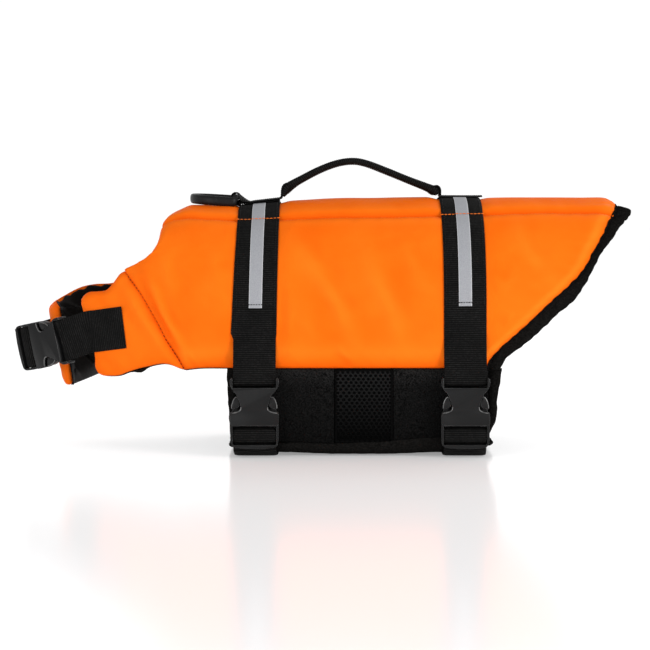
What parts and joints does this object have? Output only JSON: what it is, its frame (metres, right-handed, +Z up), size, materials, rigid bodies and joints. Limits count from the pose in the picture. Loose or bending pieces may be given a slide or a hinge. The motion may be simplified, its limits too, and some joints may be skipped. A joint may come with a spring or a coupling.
{
  "type": "dog life jacket",
  "caption": "Foam-padded dog life jacket with a top handle, a leash ring, a wrapped belly flap, buckled girth straps and a buckled chest strap.",
  "frame": {"origin": "On the surface the jacket stands on, under the middle of the belly: on the mid-plane, midway between the two girth straps.", "axes": "+Z up; the head end is at -X and the tail end at +X, so +X runs along the back; -Y is the dog's left side, where the girth buckles are."},
  "size_m": [0.5586, 0.2222, 0.266],
  "materials": {
    "shell": "semi-gloss coated weave",
    "lining": "matte",
    "binding": "matte ribbed tape",
    "flap_cloth": "matte fleece and mesh",
    "webbing": "satin woven",
    "reflective_tape": "satin retroreflective",
    "plastic": "satin moulded"
  },
  "bodies": {
    "jacket": {"back": "shell", "binding_flap_foot": "binding", "binding_flap_left_front": "binding", "binding_flap_left_rear": "binding", "binding_flap_right_front": "binding", "binding_flap_right_rear": "binding", "binding_tail_left": "binding", "binding_tail_right": "binding", "binding_tail_top": "binding", "buckle_front_prong": "plastic", "buckle_front_socket": "plastic", "buckle_neck_prong": "plastic", "buckle_neck_socket": "plastic", "buckle_rear_prong": "plastic", "buckle_rear_socket": "plastic", "collar_left": "shell", "collar_right": "shell", "flap_left_front": "flap_cloth", "flap_left_mesh": "flap_cloth", "flap_left_rear": "flap_cloth", "flap_right": "flap_cloth", "girth_front_left": "webbing", "girth_front_right": "webbing", "girth_front_upper": "webbing", "girth_rear_left": "webbing", "girth_rear_right": "webbing", "girth_rear_upper": "webbing", "handle": "webbing", "lining_back": "lining", "lining_collar_left": "lining", "lining_collar_right": "lining", "lining_side_left": "lining", "lining_side_right": "lining", "neck_strap_left": "webbing", "neck_strap_right": "webbing", "reflective_front_left": "reflective_tape", "reflective_front_right": "reflective_tape", "reflective_rear_left": "reflective_tape", "reflective_rear_right": "reflective_tape", "side_left": "shell", "side_right": "shell", "spine_webbing_front": "webbing", "spine_webbing_rear": "webbing"},
    "leash_ring": {"leash_ring": "plastic"}
  },
  "joints": [
    {"name": "leash_ring_hinge", "type": "hinge", "parent": "jacket", "child": "leash_ring", "pos_m": [-0.1138, 0, 0.2298], "axis": [0, 1, 0], "range_deg": [0, 150]}
  ]
}
